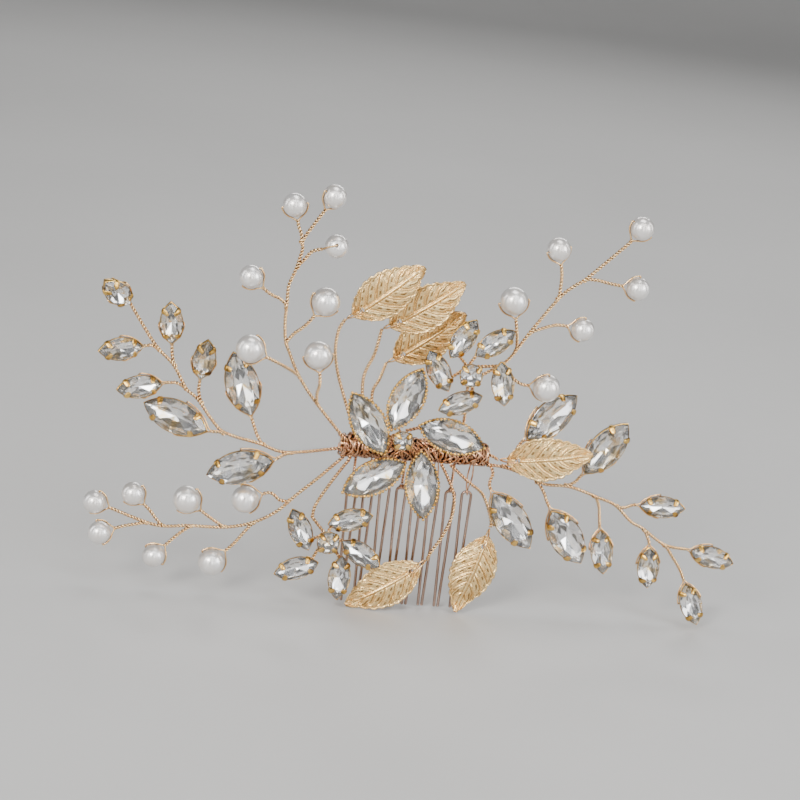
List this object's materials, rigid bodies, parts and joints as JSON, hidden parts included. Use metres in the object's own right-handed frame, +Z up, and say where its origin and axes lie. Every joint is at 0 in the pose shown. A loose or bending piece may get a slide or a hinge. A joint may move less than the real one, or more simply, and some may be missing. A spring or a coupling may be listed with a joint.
{
  "type": "decorative hair comb",
  "caption": "Wire hair comb with bound wire sprays that carry navette stones, pearls, stone flowers and stamped leaves.",
  "frame": {"origin": "middle of the comb, at the top of its arches", "axes": "+X along the comb, +Z up away from the tooth tips, decoration faces -Y"},
  "size_m": [0.1443, 0.0169, 0.094],
  "materials": {
    "comb_wire": "dull rose gold wire",
    "copper_wire": "bright copper wire",
    "gold_wire": "light gold wire",
    "crystal": "clear, foiled at the back",
    "brass_cup": "bright yellow brass",
    "leaf_brass": "pale gold, stamped",
    "pearl": "ivory pearl coating"
  },
  "bodies": {
    "comb": {"comb_teeth": "comb_wire", "tie_wires": "copper_wire", "binding_wire": "copper_wire", "stem_tails": "gold_wire", "centre_wires": "gold_wire", "main_petal_stones": "crystal", "main_petal_cups": "brass_cup", "main_centre_stone": "crystal", "main_centre_cup": "brass_cup"},
    "left_crystal_spray": {"left_stem": "gold_wire", "left_small_stones": "crystal", "left_large_stones": "crystal", "left_cups": "brass_cup"},
    "right_crystal_spray": {"right_stem": "gold_wire", "right_small_stones": "crystal", "right_large_stones": "crystal", "right_cups": "brass_cup"},
    "upper_left_spray": {"upper_left_wires": "gold_wire"},
    "lower_left_spray": {"lower_left_wires": "gold_wire"},
    "upper_right_spray": {"upper_right_wires": "gold_wire", "upper_petal_stones": "crystal", "upper_petal_cups": "brass_cup", "upper_centre_stone": "crystal", "upper_centre_cup": "brass_cup"},
    "lower_flower_spray": {"lower_flower_stem": "gold_wire", "lower_petal_stones": "crystal", "lower_petal_cups": "brass_cup", "lower_centre_stone": "crystal", "lower_centre_cup": "brass_cup"},
    "leaf_1": {"leaf_1": "leaf_brass"},
    "leaf_2": {"leaf_2": "leaf_brass"},
    "leaf_3": {"leaf_3": "leaf_brass"},
    "leaf_4": {"leaf_4": "leaf_brass"},
    "leaf_5": {"leaf_5": "leaf_brass"},
    "leaf_6": {"leaf_6": "leaf_brass"},
    "pearl_1": {"pearl_1": "pearl"},
    "pearl_2": {"pearl_2": "pearl"},
    "pearl_3": {"pearl_3": "pearl"},
    "pearl_4": {"pearl_4": "pearl"},
    "pearl_5": {"pearl_5": "pearl"},
    "pearl_6": {"pearl_6": "pearl"},
    "pearl_7": {"pearl_7": "pearl"},
    "pearl_8": {"pearl_8": "pearl"},
    "pearl_9": {"pearl_9": "pearl"},
    "pearl_10": {"pearl_10": "pearl"},
    "pearl_11": {"pearl_11": "pearl"},
    "pearl_12": {"pearl_12": "pearl"},
    "pearl_13": {"pearl_13": "pearl"},
    "pearl_14": {"pearl_14": "pearl"},
    "pearl_15": {"pearl_15": "pearl"},
    "pearl_16": {"pearl_16": "pearl"},
    "pearl_17": {"pearl_17": "pearl"},
    "pearl_18": {"pearl_18": "pearl"},
    "pearl_19": {"pearl_19": "pearl"},
    "pearl_20": {"pearl_20": "pearl"}
  },
  "joints": [
    {"name": "left_crystal_bend", "type": "hinge", "parent": "comb", "child": "left_crystal_spray", "pos_m": [-0.01675, -0.001, 0.0078], "axis": [-0.19, 0, 0.9818], "range_deg": [-10, 0]},
    {"name": "right_crystal_bend", "type": "hinge", "parent": "comb", "child": "right_crystal_spray", "pos_m": [0.01675, -0.001, 0.0066], "axis": [-0.107, 0, -0.9943], "range_deg": [-10, 0]},
    {"name": "upper_left_bend", "type": "hinge", "parent": "comb", "child": "upper_left_spray", "pos_m": [-0.0156, -0.00226, 0.0104], "axis": [0.7332, 0, 0.68], "range_deg": [0, 12]},
    {"name": "lower_left_bend", "type": "hinge", "parent": "comb", "child": "lower_left_spray", "pos_m": [-0.0156, -0.00147, 0.00594], "axis": [-0.7514, 0, 0.6598], "range_deg": [0, 10]},
    {"name": "upper_right_bend", "type": "hinge", "parent": "comb", "child": "upper_right_spray", "pos_m": [0.0095, -0.00139, 0.01149], "axis": [1, 0, 0], "range_deg": [-8, 1]},
    {"name": "lower_flower_bend", "type": "hinge", "parent": "comb", "child": "lower_flower_spray", "pos_m": [-0.0142, -0.0024, 0.00602], "axis": [-0.8407, 0, 0.5414], "range_deg": [0, 8]},
    {"name": "leaf_1_swing", "type": "hinge", "parent": "comb", "child": "leaf_1", "pos_m": [-0.015, -0.0015, 0.039], "axis": [-0.0518, -0.9976, -0.0467], "range_deg": [-15, 15]},
    {"name": "leaf_2_swing", "type": "hinge", "parent": "comb", "child": "leaf_2", "pos_m": [-0.0065, 0.001, 0.0365], "axis": [-0.0557, -0.9976, -0.042], "range_deg": [-15, 15]},
    {"name": "leaf_3_swing", "type": "hinge", "parent": "comb", "child": "leaf_3", "pos_m": [-0.0045, 0.0036, 0.0285], "axis": [-0.0526, -0.9976, -0.0458], "range_deg": [-15, 15]},
    {"name": "leaf_4_swing", "type": "hinge", "parent": "comb", "child": "leaf_4", "pos_m": [0.022, -0.004, 0.009], "axis": [-0.1361, -0.9903, -0.0289], "range_deg": [-15, 15]},
    {"name": "leaf_5_swing", "type": "hinge", "parent": "comb", "child": "leaf_5", "pos_m": [0.002, -0.0035, -0.0185], "axis": [0, -1, 0], "range_deg": [-15, 15]},
    {"name": "leaf_6_swing", "type": "hinge", "parent": "comb", "child": "leaf_6", "pos_m": [0.0175, -0.0024, -0.012], "axis": [0, -1, 0], "range_deg": [-15, 15]},
    {"name": "pearl_1_spin", "type": "hinge", "parent": "upper_left_spray", "child": "pearl_1", "pos_m": [-0.0315, -0.004, 0.061], "axis": [-0.9659, 0, -0.2588], "continuous": true},
    {"name": "pearl_2_spin", "type": "hinge", "parent": "upper_left_spray", "child": "pearl_2", "pos_m": [-0.0235, -0.004, 0.0635], "axis": [-0.8138, -0.342, 0.4698], "continuous": true},
    {"name": "pearl_3_spin", "type": "hinge", "parent": "upper_left_spray", "child": "pearl_3", "pos_m": [-0.022, -0.004, 0.053], "axis": [-0.0885, -0.9397, 0.3304], "continuous": true},
    {"name": "pearl_4_spin", "type": "hinge", "parent": "upper_left_spray", "child": "pearl_4", "pos_m": [-0.039, -0.004, 0.045], "axis": [-0.6293, 0, -0.7771], "continuous": true},
    {"name": "pearl_5_spin", "type": "hinge", "parent": "upper_left_spray", "child": "pearl_5", "pos_m": [-0.023, -0.004, 0.041], "axis": [-0.8387, 0, 0.5446], "continuous": true},
    {"name": "pearl_6_spin", "type": "hinge", "parent": "upper_left_spray", "child": "pearl_6", "pos_m": [-0.038, -0.0075, 0.0305], "axis": [-0.3672, -0.342, -0.865], "continuous": true},
    {"name": "pearl_7_spin", "type": "hinge", "parent": "upper_left_spray", "child": "pearl_7", "pos_m": [-0.0235, -0.005, 0.0295], "axis": [-0.9848, 0, -0.1736], "continuous": true},
    {"name": "pearl_8_spin", "type": "hinge", "parent": "lower_left_spray", "child": "pearl_8", "pos_m": [-0.0675, -0.002, -0.008], "axis": [-0.3256, 0, -0.9455], "continuous": true},
    {"name": "pearl_9_spin", "type": "hinge", "parent": "lower_left_spray", "child": "pearl_9", "pos_m": [-0.066, -0.002, -0.015], "axis": [0.3368, -0.342, -0.8773], "continuous": true},
    {"name": "pearl_10_spin", "type": "hinge", "parent": "lower_left_spray", "child": "pearl_10", "pos_m": [-0.0595, -0.002, -0.0055], "axis": [-0.682, 0, -0.7314], "continuous": true},
    {"name": "pearl_11_spin", "type": "hinge", "parent": "lower_left_spray", "child": "pearl_11", "pos_m": [-0.054, -0.002, -0.0195], "axis": [0.729, -0.2588, -0.6337], "continuous": true},
    {"name": "pearl_12_spin", "type": "hinge", "parent": "lower_left_spray", "child": "pearl_12", "pos_m": [-0.048, -0.002, -0.006], "axis": [-0.5878, 0, -0.809], "continuous": true},
    {"name": "pearl_13_spin", "type": "hinge", "parent": "lower_left_spray", "child": "pearl_13", "pos_m": [-0.0415, -0.002, -0.02], "axis": [0.7071, 0, -0.7071], "continuous": true},
    {"name": "pearl_14_spin", "type": "hinge", "parent": "lower_left_spray", "child": "pearl_14", "pos_m": [-0.0355, -0.001, -0.0054], "axis": [0.3689, -0.1736, -0.9131], "continuous": true},
    {"name": "pearl_15_spin", "type": "hinge", "parent": "upper_right_spray", "child": "pearl_15", "pos_m": [0.0245, -0.004, 0.0565], "axis": [-0.933, -0.2588, -0.25], "continuous": true},
    {"name": "pearl_16_spin", "type": "hinge", "parent": "upper_right_spray", "child": "pearl_16", "pos_m": [0.0415, -0.004, 0.0625], "axis": [-0.8192, 0, 0.5736], "continuous": true},
    {"name": "pearl_17_spin", "type": "hinge", "parent": "upper_right_spray", "child": "pearl_17", "pos_m": [0.0425, -0.004, 0.0495], "axis": [0.0872, 0, 0.9962], "continuous": true},
    {"name": "pearl_18_spin", "type": "hinge", "parent": "upper_right_spray", "child": "pearl_18", "pos_m": [0.032, -0.004, 0.0395], "axis": [0.1392, 0, 0.9903], "continuous": true},
    {"name": "pearl_19_spin", "type": "hinge", "parent": "upper_right_spray", "child": "pearl_19", "pos_m": [0.0165, -0.004, 0.0445], "axis": [-0.9744, 0, -0.225], "continuous": true},
    {"name": "pearl_20_spin", "type": "hinge", "parent": "upper_right_spray", "child": "pearl_20", "pos_m": [0.026, -0.004, 0.026], "axis": [0.0515, -0.1736, 0.9835], "continuous": true}
  ]
}
